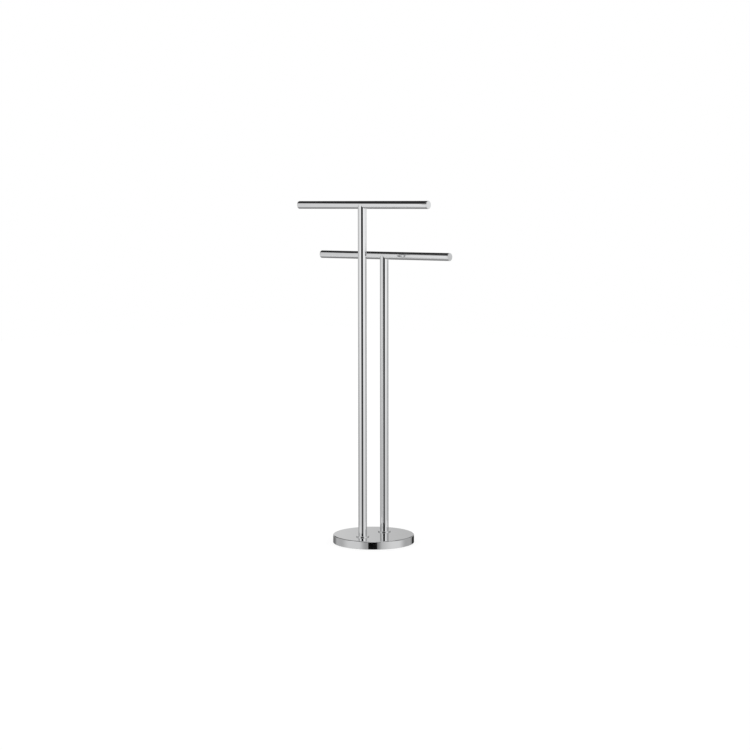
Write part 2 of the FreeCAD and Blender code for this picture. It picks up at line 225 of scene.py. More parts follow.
class NodeSheet:
    """A short way to lay out the nodes of a material or of the world.

    A Source below is a plain value, an output socket, or a node, whose first output is taken.
    """

    def __init__(self, tree: bpy.types.NodeTree) -> None:
        """Empties a node tree and keeps it.

        Args:
            tree: The node tree to fill.
        """
        self.tree = tree
        tree.nodes.clear()

    def add(self, kind: str, settings: dict[str, Any] | None = None, **inputs: Source) -> bpy.types.Node:
        """Adds a node.

        Args:
            kind: The node's type, without its "ShaderNode" prefix.
            settings: Values for the node's own properties.
            inputs: Sources for its inputs, by name with _ for a space, or by i and a number.

        Returns:
            The node.
        """
        node = self.tree.nodes.new("ShaderNode" + kind)
        for key, value in (settings or {}).items():
            setattr(node, key, value)
        for key, value in inputs.items():
            is_number = key[0] == "i" and key[1:].isdigit()
            self.feed(node.inputs[int(key[1:]) if is_number else key.replace("_", " ")], value)
        return node

    def feed(self, socket: Socket, value: Source) -> None:
        """Links an output to a socket, or sets the socket's value.

        Args:
            socket: The input.
            value: What it gets.
        """
        if isinstance(value, bpy.types.Node):
            value = value.outputs[0]
        if isinstance(value, Socket):
            self.tree.links.new(value, socket)
        else:
            socket.default_value = value

    def math(self, operation: str, *values: Source, clamp: bool = False) -> Socket:
        """Adds a Math node.

        Args:
            operation: The node's operation.
            values: Its inputs.
            clamp: Whether the result is kept from 0 to 1.

        Returns:
            Its output.
        """
        inputs = {f"i{number}": value for number, value in enumerate(values)}
        return self.add("Math", {"operation": operation, "use_clamp": clamp}, **inputs).outputs[0]

    def ramp(
        self, value: Source, low: float, high: float, to_low: float = 0.0, to_high: float = 1.0
    ) -> Socket:
        """Adds a smooth step from one value to another.

        Args:
            value: What it reads.
            low: Where the step begins.
            high: Where the step ends.
            to_low: The result before the step.
            to_high: The result after it.

        Returns:
            Its output.
        """
        settings = {"interpolation_type": "SMOOTHSTEP"}
        node = self.add("MapRange", settings, i0=value, i1=low, i2=high, i3=to_low, i4=to_high)
        return node.outputs[0]

    def mix(self, factor: Source, first: Source, second: Source) -> Socket:
        """Adds a mix of two numbers.

        Args:
            factor: 0 for the first, 1 for the second.
            first: The first number.
            second: The second number.

        Returns:
            Its output.
        """
        return self.add("Mix", {"data_type": "FLOAT"}, i0=factor, i2=first, i3=second).outputs[0]

    def noise(self, where: Source, scale: float, detail: float, rough: float = 0.5) -> Socket:
        """Adds a noise pattern.

        Args:
            where: The coordinates.
            scale: Features per metre.
            detail: How many finer layers it has.
            rough: How strong they are.

        Returns:
            Its height, about 0 to 1.
        """
        return self.add("TexNoise", Vector=where, Scale=scale, Detail=detail, Roughness=rough).outputs[0]

    def stretched(self, where: Source, scale: Triple) -> Socket:
        """Adds coordinates that are stretched by a factor on each axis."""
        return self.add("Mapping", Vector=where, Scale=scale).outputs[0]

    def dot(self, first: Source, second: Source) -> Socket:
        """Adds the dot product of two vectors."""
        node = self.add("VectorMath", {"operation": "DOT_PRODUCT"}, i0=first, i1=second)
        return node.outputs["Value"]

    def away_from(self, angle: Source, middle: float) -> Socket:
        """Adds the distance round the circle from a fixed angle, from 0 to 180 degrees."""
        turned = self.math("SUBTRACT", angle, middle)
        return self.math("ABSOLUTE", self.math("WRAP", turned, HALF_TURN, -HALF_TURN))

    def mirror_ray(self) -> Socket:
        """Adds 1 for the rays that metal and glass send out, and 0 for all others."""
        ray = self.add("LightPath").outputs
        return self.math("MAXIMUM", ray["Is Glossy Ray"], ray["Is Transmission Ray"])

    def bump(self, height: Source, distance: float, normal: Source | None = None) -> Socket:
        """Adds a relief.

        Args:
            height: Its pattern, about 0 to 1.
            distance: The relief's depth in metres.
            normal: A relief below it, if any.

        Returns:
            The surface normal.
        """
        node = self.add("Bump", Height=height, Distance=distance)
        if normal is not None:
            self.feed(node.inputs["Normal"], normal)
        return node.outputs[0]

    def grey(self, level: Source, tint: Triple) -> Socket:
        """Adds a colour: a level times a tint.

        Args:
            level: The brightness.
            tint: The colour at a brightness of 1.

        Returns:
            The colour.
        """
        node = self.add("VectorMath", {"operation": "SCALE"}, i0=tint)
        self.feed(node.inputs["Scale"], level)
        return node.outputs[0]


@dataclass(frozen=True)
class Finish:
    """A surface finish, which makes its own material.

    Attributes:
        name: The material's name.
        tint: The colour at full brightness.
        metallic: 1 for bare or plated metal, 0 for paint and rubber.
    """

    name: str
    tint: Triple
    metallic: ClassVar[float] = 0.0

    def material(self) -> bpy.types.Material:
        """Makes the material, the first time that it is asked for.

        Returns:
            The material.
        """
        made = bpy.data.materials.get(self.name)
        if made is not None:
            return made
        made = bpy.data.materials.new(self.name)
        made.use_nodes = True
        sheet = NodeSheet(made.node_tree)
        colour, roughness, normal = self.lay_out(sheet, sheet.add("TexCoord").outputs["Object"])
        shader = sheet.add("BsdfPrincipled", Base_Color=colour, Roughness=roughness, Normal=normal)
        shader.inputs["Metallic"].default_value = self.metallic
        sheet.add("OutputMaterial", Surface=shader)
        return made

    def lay_out(self, sheet: NodeSheet, where: Socket) -> Skin:
        """Lays out what the shader gets.

        Args:
            sheet: Where the nodes go.
            where: Coordinates in metres on the object.

        Returns:
            Its colour, roughness and normal.
        """
        raise NotImplementedError


@dataclass(frozen=True)
class PolishedChrome(Finish):
    """Bright chrome plating: a mirror with faint smudges, polishing lines and a trace of ripple.

    Scales are features per metre and reliefs are heights in metres.

    Attributes:
        brightness: The share of light that it reflects.
        dulling: What the hollows of the ripple keep of that.
        grain: How the polishing lines are stretched on each axis. They run along the smallest number.
        polish: Roughness of the clean metal.
        smudge: How much rougher the smudged places are.
        scratch: How much rougher the polishing lines are.
        ripple_scale: Scale of the metal's slow unevenness.
        smear_scale: Scale of the smudges.
        speck_scale: Scale of the specks.
        ripple: Relief of the slow unevenness.
        line_relief: Relief of the polishing lines.
        speck_relief: Relief of the specks.
        smudge_span: Heights of its noise between which a smudge sets in.
        line_span: The same for a polishing line.
    """

    metallic = 1.0
    brightness: float = 0.86
    dulling: float = 0.985
    grain: Triple = (900.0, 900.0, 6.0)
    polish: float = 0.03
    smudge: float = 0.05
    scratch: float = 0.03
    ripple_scale: float = 22.0
    smear_scale: float = 60.0
    speck_scale: float = 1400.0
    ripple: float = 0.00001
    line_relief: float = 0.0000002
    speck_relief: float = 0.0000001
    smudge_span: Pair = (0.52, 0.78)
    line_span: Pair = (0.55, 0.8)

    def lay_out(self, sheet: NodeSheet, where: Socket) -> Skin:
        """Lays out a mirror whose smudges, lines, ripple and specks are noises.

        Args:
            sheet: Where the nodes go.
            where: Coordinates in metres on the object.

        Returns:
            Its colour, roughness and normal.
        """
        slow = sheet.noise(where, self.ripple_scale, detail=2.0)
        smears = sheet.noise(where, self.smear_scale, detail=5.0, rough=0.6)
        lines = sheet.noise(sheet.stretched(where, self.grain), scale=1.0, detail=2.0)
        specks = sheet.noise(where, self.speck_scale, detail=1.0)
        level = sheet.ramp(slow, *NOISE_RANGE, self.brightness * self.dulling, self.brightness)
        smudged = sheet.ramp(smears, *self.smudge_span, 0.0, self.smudge)
        lined = sheet.ramp(lines, *self.line_span, 0.0, self.scratch)
        roughness = sheet.math("ADD", sheet.math("ADD", smudged, lined), self.polish)
        relief = sheet.bump(slow, self.ripple)
        relief = sheet.bump(lines, self.line_relief, relief)
        relief = sheet.bump(specks, self.speck_relief, relief)
        return sheet.grey(level, self.tint), roughness, relief


@dataclass(frozen=True)
class TurnedSteel(Finish):
    """Bare steel from the lathe, with fine tool marks and slow stains.

    Attributes:
        pitch: Tool marks per metre.
        along: How far the marks are drawn out, as features per metre.
        stain_scale: Stains per metre.
        stained: Brightness of the stained and of the clean metal.
        roughness: Roughness between the marks and on them.
        relief: Depth of the marks in metres.
        clean_span: Heights of the stains' noise between which they give way to clean metal.
    """

    metallic = 1.0
    pitch: float = 2500.0
    along: float = 40.0
    stain_scale: float = 90.0
    stained: Pair = (0.48, 0.6)
    roughness: Pair = (0.28, 0.42)
    relief: float = 0.000004
    clean_span: Pair = (0.3, 0.75)

    def lay_out(self, sheet: NodeSheet, where: Socket) -> Skin:
        """Lays out a metal whose tool marks are noise drawn out along one axis.

        Args:
            sheet: Where the nodes go.
            where: Coordinates in metres on the object.

        Returns:
            Its colour, roughness and normal.
        """
        stretch = (self.pitch, self.along, self.pitch)
        marks = sheet.noise(sheet.stretched(where, stretch), scale=1.0, detail=3.0)
        stains = sheet.noise(where, self.stain_scale, detail=4.0, rough=0.6)
        colour = sheet.grey(sheet.ramp(stains, *self.clean_span, *self.stained), self.tint)
        roughness = sheet.ramp(marks, *NOISE_RANGE, *self.roughness)
        return colour, roughness, sheet.bump(marks, self.relief)


@dataclass(frozen=True)
class ZincPlate(Finish):
    """Bright zinc plating on fasteners: a soft metallic grey with crystalline spangle and bloom.

    Attributes:
        crystal_scale: Crystals per metre.
        crystal_spread: How much the crystals differ in brightness.
        bloom_scale: Patches of bloom per metre.
        bloomed: Brightness of the darkest and the brightest patches.
        roughness: Roughness of the bright and of the dull patches.
        relief: Height of the bloom in metres.
        dull_span: Heights of the bloom between which the plating goes from bright to dull.
    """

    metallic = 1.0
    crystal_scale: float = 700.0
    crystal_spread: float = 0.06
    bloom_scale: float = 160.0
    bloomed: Pair = (0.58, 0.7)
    roughness: Pair = (0.26, 0.44)
    relief: float = 0.00001
    dull_span: Pair = (0.3, 0.75)

    def lay_out(self, sheet: NodeSheet, where: Socket) -> Skin:
        """Lays out a metal whose crystals differ a little in brightness.

        Args:
            sheet: Where the nodes go.
            where: Coordinates in metres on the object.

        Returns:
            Its colour, roughness and normal.
        """
        cells = sheet.add("TexVoronoi", Vector=where, Scale=self.crystal_scale)
        spangle = sheet.add("SeparateColor", i0=cells.outputs["Color"])
        bloom = sheet.noise(where, self.bloom_scale, detail=4.0, rough=0.6)
        patches = sheet.ramp(bloom, *NOISE_RANGE, *self.bloomed)
        level = sheet.math("MULTIPLY_ADD", spangle, self.crystal_spread, patches)
        roughness = sheet.ramp(bloom, *self.dull_span, *self.roughness)
        return sheet.grey(level, self.tint), roughness, sheet.bump(bloom, self.relief)


@dataclass(frozen=True)
class PaintedIron(Finish):
    """Cast iron under thin black paint: a sandy skin with worn, rusty spots.

    Attributes:
        rust: Colour of the rust.
        sand_scale: Grains of the casting per metre.
        patch_scale: Rusty patches per metre.
        shades: Shades of the paint, as shares of its tint.
        rust_shades: Shades of the rust, as shares of its colour.
        roughness: Roughness in the hollows and on the grains.
        relief: Height of the grains in metres.
        rusty_span: Heights of the patches' noise between which the paint gives way to rust.
    """

    rust: Triple = (0.12, 0.05, 0.02)
    sand_scale: float = 900.0
    patch_scale: float = 120.0
    shades: Pair = (0.7, 1.2)
    rust_shades: Pair = (0.6, 1.3)
    roughness: Pair = (0.5, 0.75)
    relief: float = 0.00012
    rusty_span: Pair = (0.66, 0.74)

    def lay_out(self, sheet: NodeSheet, where: Socket) -> Skin:
        """Lays out dark paint, with rust where a coarse noise is highest.

        Args:
            sheet: Where the nodes go.
            where: Coordinates in metres on the object.

        Returns:
            Its colour, roughness and normal.
        """
        sand = sheet.noise(where, self.sand_scale, detail=6.0, rough=0.7)
        patches = sheet.noise(where, self.patch_scale, detail=5.0, rough=0.65)
        rusty = sheet.ramp(patches, *self.rusty_span)
        paint = sheet.grey(sheet.ramp(sand, *NOISE_RANGE, *self.shades), self.tint)
        rust = sheet.grey(sheet.ramp(sand, *NOISE_RANGE, *self.rust_shades), self.rust)
        colour = sheet.add("Mix", {"data_type": "RGBA"}, i0=rusty, i6=paint, i7=rust).outputs[2]
        roughness = sheet.ramp(sand, *NOISE_RANGE, *self.roughness)
        return colour, roughness, sheet.bump(sand, self.relief)


@dataclass(frozen=True)
class MouldedRubber(Finish):
    """Black rubber with a fine pebbled skin and pale dust.

    Attributes:
        pebble_scale: Pebbles of the skin per metre.
        dust_scale: Patches of dust per metre.
        dusty: Brightness of the clean and of the dusty rubber, as shares of its tint.
        roughness: Roughness of the clean and of the dusty rubber.
        relief: Height of the pebbles in metres.
        dusty_span: Heights of the dust's noise between which it sets in.
    """

    pebble_scale: float = 900.0
    dust_scale: float = 70.0
    dusty: Pair = (0.8, 2.2)
    roughness: Pair = (0.62, 0.85)
    relief: float = 0.0002
    dusty_span: Pair = (0.4, 0.8)

    def lay_out(self, sheet: NodeSheet, where: Socket) -> Skin:
        """Lays out a matt black with pebbles about a millimetre across.

        Args:
            sheet: Where the nodes go.
            where: Coordinates in metres on the object.

        Returns:
            Its colour, roughness and normal.
        """
        pebbles = sheet.add("TexVoronoi", Vector=where, Scale=self.pebble_scale)
        dust = sheet.noise(where, self.dust_scale, detail=6.0, rough=0.7)
        colour = sheet.grey(sheet.ramp(dust, *self.dusty_span, *self.dusty), self.tint)
        roughness = sheet.ramp(dust, *NOISE_RANGE, *self.roughness)
        return colour, roughness, sheet.bump(pebbles.outputs["Distance"], self.relief)


COOL: Triple = (0.985, 0.992, 1.0)
ACROSS = 900.0
ALONG = 6.0
POST_CHROME = PolishedChrome("post_chrome", COOL, grain=(ACROSS, ACROSS, ALONG))
RAIL_CHROME = PolishedChrome("rail_chrome", COOL, grain=(ALONG, ACROSS, ACROSS), smudge=0.07)
CAP_CHROME = PolishedChrome("cap_chrome", COOL, grain=(300.0, 300.0, 300.0))
BASE_CHROME = PolishedChrome(
    "base_chrome", COOL, brightness=0.78, grain=(12.0, 700.0, 700.0), ripple=0.00002
)
TURNED_STEEL = TurnedSteel("turned_steel_bare", (1.0, 0.99, 0.97))
ZINC_PLATE = ZincPlate("zinc_plate", (0.97, 0.985, 1.0))
PAINTED_IRON = PaintedIron("painted_iron", (0.025, 0.025, 0.027))
MOULDED_RUBBER = MouldedRubber("moulded_rubber", (0.016, 0.016, 0.017))


def finish_piece(piece: bpy.types.Object, finish: Finish, slot: Slot, *nodes: str) -> None:
    """Dresses a new piece, ties it to the stand and lets it stand for its CAD nodes.

    Args:
        piece: The new piece.
        finish: Its finish.
        slot: A material slot of the record. Not used.
        nodes: The CAD nodes that it replaces.
    """
    piece.data.materials.append(finish.material())
    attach(piece, BODY)
    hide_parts(*nodes)
    log.info("made %s with %d faces", piece.name, len(piece.data.polygons))


# ---- The stand ----


@dataclass
class Base:
    """The round base: the chromed shell over the ballast and its pad.

    Attributes:
        wall: Sheet thickness of the shell.
        edge_radius: Rounding of its upper edge.
        lip_radius: Rounding of its lower edge.
        segments: Steps round its rim.
        low: Lowest corner of the shell's box in the frame.
        high: Its highest corner.
    """

    wall: float = 1.5 * MM
    edge_radius: float = 2.5 * MM
    lip_radius: float = 0.4 * MM
    segments: int = 360
    low: Vector = field(init=False)
    high: Vector = field(init=False)

    def __post_init__(self) -> None:
        """Takes the shell's place from the frame."""
        self.low, self.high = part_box("base_shell")

    def shell_section(self) -> Array:
        """The shell's outline, from the middle of its top round its edge to the middle within.

        Returns:
            One (radius, height) row per point.
        """
        outer = self.high.x
        inner = outer - self.wall
        ceiling = self.high.z - self.wall
        outside = [(0.0, self.high.z), (outer, self.high.z), (outer, self.low.z)]
        inside = [(inner, self.low.z), (inner, ceiling), (0.0, ceiling)]
        corners = np.array(outside + inside)
        inner_radius = self.edge_radius - self.wall
        lip = self.lip_radius
        radii = np.array([0.0, self.edge_radius, lip, lip, inner_radius, 0.0])
        return rounded_section(corners, radii, steps=12, closed=False, support=0.25 * MM)

    def build(self) -> None:
        """Makes the shell from its outline, carried round the Z axis."""
        grid = turned_surface(self.shell_section(), self.segments)
        shell = mesh_piece("chromed_base_shell", grid, closed=False, at=np.zeros(3))
        finish_piece(shell, BASE_CHROME, Slot.CHROME, "base_shell")


@dataclass
class Upright:
    """One T-shaped upright: its post, rail, end caps and collar.

    Attributes:
        side: Which of the two it is.
        tube_wall: Wall of the post and rail tubes.
        seat_gap: Between the rail and its saddle in the post.
        burr: Rounding of cut tube ends.
        cap_edge_radius: Rounding of an end cap's rim.
        cap_wall: Wall of an end cap's hollow plug.
        collar_edge_radius: Rounding of the collar's upper edge.
        segments: Steps round the tubes.
        rows_across: Rows of points across the post's wall in its saddle.
        post_radius: Outer radius of the post, from the frame.
        rail_radius: Outer radius of the rail.
        along: Where the upright stands on the Y axis.
        rail_level: Height of the rail's axis.
    """

    side: Side
    tube_wall: float = 1.5 * MM
    seat_gap: float = 0.05 * MM
    burr: float = 0.15 * MM
    cap_edge_radius: float = 0.8 * MM
    cap_wall: float = 2.0 * MM
    collar_edge_radius: float = 0.6 * MM
    segments: int = 192
    rows_across: int = 3
    post_radius: float = field(init=False)
    rail_radius: float = field(init=False)
    along: float = field(init=False)
    rail_level: float = field(init=False)

    def __post_init__(self) -> None:
        """Takes the upright's sizes and place from the frame."""
        post_low, post_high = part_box(self.node("post"))
        rail_low, rail_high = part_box(self.node("rail"))
        self.post_radius = (post_high.x - post_low.x) / 2
        self.rail_radius = (rail_high.z - rail_low.z) / 2
        self.along = (rail_low.y + rail_high.y) / 2
        self.rail_level = (rail_low.z + rail_high.z) / 2

    def node(self, piece: str) -> str:
        """This upright's name for a piece, as in the names of the CAD nodes."""
        return f"{self.side.value}_{piece}"

    def saddle(self, across: Array) -> Array:
        """The height of the saddle's surface over the rail's axis.

        It is a round trough: minus the square root of its radius squared less the distance from the
        rail's middle plane squared, and level with the axis beyond the trough's edge.

        Args:
            across: Distances from the rail's middle plane.

        Returns:
            Heights, from minus the trough's radius up to 0.
        """
        radius = self.rail_radius + self.seat_gap
        return -np.sqrt(np.clip(radius**2 - across**2, 0, None))

    def build_post(self) -> None:
        """Makes the post: a tube whose upper end is cut to the saddle.

        The tube's wall outline is carried round the axis with its upper end level. Then each point in
        the uppermost stretch slides along the tube, by the saddle's height there times the share of the
        stretch that lies below the point.
        """
        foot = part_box(self.node("post"))[0].z
        inner = self.post_radius - self.tube_wall
        length = self.rail_level - foot
        stretch = 2 * self.rail_radius
        wall = np.linspace(inner, self.post_radius, self.rows_across + 2)[1:-1]
        levels = (0.0, length - stretch, length)
        corners = [(self.post_radius, level) for level in levels]
        corners += [(radius, length) for radius in wall[::-1]]
        corners += [(inner, level) for level in levels[::-1]]
        faces, ends = (inner, self.post_radius), (0.0, length)
        is_rounded = [radius in faces and level in ends for radius, level in corners]
        radii = np.where(is_rounded, self.burr, 0.0)
        section = rounded_section(np.array(corners), radii, steps=4, closed=True, support=0.1 * MM)
        grid = turned_surface(section, self.segments)
        share = np.clip((grid[..., 2] - (length - stretch)) / stretch, 0, 1)
        grid[..., 2] += share * self.saddle(grid[..., 1])
        at = np.array([0, self.along, foot])
        post = mesh_piece(self.node("post_tube"), grid, closed=True, at=at)
        finish_piece(post, POST_CHROME, Slot.CHROME, self.node("post"))

    def build_rail(self) -> None:
        """Makes the rail: a plain tube, its wall outline carried round the X axis."""
        low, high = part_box(self.node("rail"))
        inner = self.rail_radius - self.tube_wall
        corners = np.array(
            [(self.rail_radius, low.x), (self.rail_radius, high.x), (inner, high.x), (inner, low.x)]
        )
        section = rounded_section(corners, np.full(4, self.burr), steps=4, closed=True, support=0.2 * MM)
        grid = lay_along_x(turned_surface(section, self.segments))
        at = np.array([0, self.along, self.rail_level])
        rail = mesh_piece(self.node("rail_tube"), grid, closed=True, at=at)
        finish_piece(rail, RAIL_CHROME, Slot.CHROME, self.node("rail"))

    def build_cap(self, end: RailEnd) -> None:
        """Makes an end cap: a head as wide as the tube, and a hollow plug behind it inside the tube.

        Its outline runs from the middle of the head's face round the plug to the middle of the hollow,
        and is carried round the X axis.

        Args:
            end: Which end of the rail it closes.
        """
        word, facing = end.value
        node = self.node(f"rail_cap_{word}")
        low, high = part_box(node)
        rail_low, rail_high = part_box(self.node("rail"))
        seat = rail_high.x if facing > 0 else rail_low.x
        face = high.x if facing > 0 else low.x
        back = low.x if facing > 0 else high.x
        plug = self.rail_radius - self.tube_wall - self.seat_gap
        hollow = plug - self.cap_wall
        corners = np.array(
            [
                (0.0, facing * face),
                (self.rail_radius, facing * face),
                (self.rail_radius, facing * seat),
                (plug, facing * seat),
                (plug, facing * back),
                (hollow, facing * back),
                (hollow, facing * seat),
                (0.0, facing * seat),
            ]
        )
        radii = np.zeros(len(corners))
        radii[[1, 2, 4, 5]] = self.cap_edge_radius, self.burr, 2 * self.burr, self.burr
        section = rounded_section(corners, radii, steps=9, closed=False, support=0.15 * MM)
        section[:, 1] *= facing
        grid = lay_along_x(turned_surface(section, self.segments))
        at = np.array([0, self.along, self.rail_level])
        cap = mesh_piece(self.node(f"cap_{word}"), grid, closed=False, at=at)
        finish_piece(cap, CAP_CHROME, Slot.CHROME, node)

    def build_collar(self) -> None:
        """Makes the collar: a flat ring with a rounded upper edge, close round the post."""
        low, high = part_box(self.node("collar"))
        outer = (high.x - low.x) / 2
        inner = self.post_radius + self.seat_gap
        corners = np.array([(inner, low.z), (inner, high.z), (outer, high.z), (outer, low.z)])
        radii = np.array([0.0, self.burr, self.collar_edge_radius, self.burr])
        section = rounded_section(corners, radii, steps=8, closed=True, support=0.15 * MM)
        grid = turned_surface(section, self.segments)
        at = np.array([0, self.along, 0])
        collar = mesh_piece(self.node("collar_ring"), grid, closed=True, at=at)
        finish_piece(collar, CAP_CHROME, Slot.CHROME, self.node("collar"))

    def build(self) -> None:
        """Makes every outer piece of the upright."""
        self.build_post()
        self.build_rail()
        for end in RailEnd:
            self.build_cap(end)
        self.build_collar()


@dataclass
class InnerPieces:
    """The pieces that stay as packed: fasteners, plugs, bushes, the ballast and the pad.

    Attributes:
        finishes: Their finishes by the names of their nodes without the side.
    """

    finishes: dict[str, Finish] = field(
        default_factory=lambda: {
            "barrel_nut": TURNED_STEEL,
            "saddle_plug": TURNED_STEEL,
            "foot_bush": TURNED_STEEL,
            "tie_rod": ZINC_PLATE,
            "washer": ZINC_PLATE,
            "spring_washer": ZINC_PLATE,
            "nut": ZINC_PLATE,
            "base_ballast": PAINTED_IRON,
            "base_pad": MOULDED_RUBBER,
        }
    )

    def dress(self, nodes: dict[str, bpy.types.Object]) -> None:
        """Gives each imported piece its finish.

        Args:
            nodes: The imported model's objects by name.
        """
        for name, piece in nodes.items():
            without_side = name.removeprefix("tall_").removeprefix("low_")
            finish = self.finishes.get(without_side)
            if finish is None:
                continue
            piece.data.materials.clear()
            piece.data.materials.append(finish.material())
            log.info("dressed %s in %s", name, finish.name)


# ---- The studio ----


@dataclass(frozen=True)
class StudioCamera:
    """The camera, placed round the stand by angles.

    Attributes:
        azimuth: Degrees round from -Y towards +X.
        pitch: Degrees that it looks down.
        roll: Degrees that it is turned about its own axis.
        distance: From the camera to the plane of the stand's axis.
        aim_level: Height on the stand's axis that it looks at.
        offset: How far it is moved to its right.
        lens: Focal length in millimetres.
        sensor: Sensor width in millimetres.
        far_limit: How far it sees.
    """

    azimuth: float = 38.553
    pitch: float = 5.643
    roll: float = -0.058
    distance: float = 4.4907
    aim_level: float = 0.43596
    offset: float = 0.00411
    lens: float = 83.704
    sensor: float = 36.0
    far_limit: float = 50.0

    def front(self) -> Vector:
        """The level direction from the stand towards the camera."""
        turn = math.radians(self.azimuth)
        return Vector((math.sin(turn), -math.cos(turn), 0))

    def right(self) -> Vector:
        """The level direction to the camera's right."""
        turn = math.radians(self.azimuth)
        return Vector((math.cos(turn), math.sin(turn), 0))

    def build(self) -> None:
        """Makes the camera and gives it to the scene."""
        tilt, roll = math.radians(self.pitch), math.radians(self.roll)
        right = self.right()
        back = self.front() * math.cos(tilt) + Vector((0, 0, math.sin(tilt)))
        up = back.cross(right)
        x_axis = right * math.cos(roll) + up * math.sin(roll)
        y_axis = up * math.cos(roll) - right * math.sin(roll)
        lens = bpy.data.cameras.new("studio_camera")
        lens.lens = self.lens
        lens.sensor_width = self.sensor
        lens.clip_end = self.far_limit
        camera = bpy.data.objects.new("studio_camera", lens)
        bpy.context.scene.collection.objects.link(camera)
        place = Vector((0, 0, self.aim_level)) + back * self.distance + right * self.offset
        axes = Matrix((x_axis, y_axis, back)).transposed()
        camera.matrix_world = Matrix.Translation(place) @ axes.to_4x4()
        bpy.context.scene.camera = camera


def plain_rectangle(name: str, corners: list[Vector]) -> tuple[bpy.types.Object, NodeSheet]:
    """Makes a flat object with four corners and an empty material.

    Args:
        name: The name of the object, its mesh and its material.
        corners: Its corners in order round its edge.

    Returns:
        The object, and the sheet on which its material is laid out.
    """
    mesh = bpy.data.meshes.new(name)
    mesh.from_pydata([corner[:] for corner in corners], [], [(0, 1, 2, 3)])
    rectangle = bpy.data.objects.new(name, mesh)
    bpy.context.scene.collection.objects.link(rectangle)
    material = bpy.data.materials.new(name)
    material.use_nodes = True
    mesh.materials.append(material)
    return rectangle, NodeSheet(material.node_tree)


@dataclass(frozen=True)
class WallCard:
    """A part of the studio's far walls that mirrors show, from the floor's edge to the ceiling's.

    Attributes:
        name: What it is.
        middle: Degrees round from the main view's direction, to the right.
        half_width: Half its width in degrees.
        softness: Degrees over which its sides fade into what is behind it.
        above: Brightness above eye level, or None where it is seen through.
        eye: Brightness just below eye level, or None.
        below: Brightness ten degrees further down, or None.
    """

    name: str
    middle: float
    half_width: float
    softness: float
    above: float | None
    eye: float | None
    below: float | None


@dataclass(frozen=True)
class NearCard:
    """A card close to the stand that the camera does not see. Only mirrors show it.

    Attributes:
        name: What it is.
        turn: Degrees round from the main view's direction, to the right, at which it stands.
        distance: From the stand's axis to the card.
        half_width: Half its width.
        clear: Height of its faded edge, where nothing of it shows.
        full: Height from which it is opaque.
        end: Height of its other edge.
        dim_side: Brightness at the side that lies further round to the left.
        bright_side: Brightness at its other side.
    """

    name: str
    turn: float
    distance: float
    half_width: float
    clear: float
    full: float
    end: float
    dim_side: float
    bright_side: float

    def build(self, camera: StudioCamera) -> None:
        """Makes the card and its material.

        The card is an upright rectangle square to its own direction. It fades in evenly from the height
        where nothing shows to the height where it is opaque, and its brightness runs evenly from side to
        side.

        Args:
            camera: The camera from whose direction its angle is counted.
        """
        turn = math.radians(self.turn)
        outward = camera.front() * math.cos(turn) + camera.right() * math.sin(turn)
        aside = Vector((-outward.y, outward.x, 0))
        edge, middle = aside * self.half_width, outward * self.distance
        low, high = (Vector((0, 0, height)) for height in sorted((self.clear, self.end)))
        left, right = middle - edge, middle + edge
        corners = [left + low, right + low, right + high, left + high]
        card, sheet = plain_rectangle(self.name, corners)
        where = sheet.add("TexCoord").outputs["Object"]
        height = sheet.add("SeparateXYZ", i0=where).outputs[2]
        share = sheet.math("MULTIPLY_ADD", sheet.dot(where, aside), 0.5 / self.half_width, 0.5)
        level = sheet.math("MULTIPLY_ADD", share, self.bright_side - self.dim_side, self.dim_side)
        over = sheet.math("SUBTRACT", height, self.clear)
        shown = sheet.math("DIVIDE", over, self.full - self.clear, clamp=True)
        white = sheet.add("Emission", Color=(1, 1, 1, 1), Strength=level)
        clear = sheet.add("BsdfTransparent")
        sheet.add("OutputMaterial", Surface=sheet.add("MixShader", i0=shown, i1=clear, i2=white))
        card.visible_camera = False
        card.visible_diffuse = False
        card.visible_shadow = False


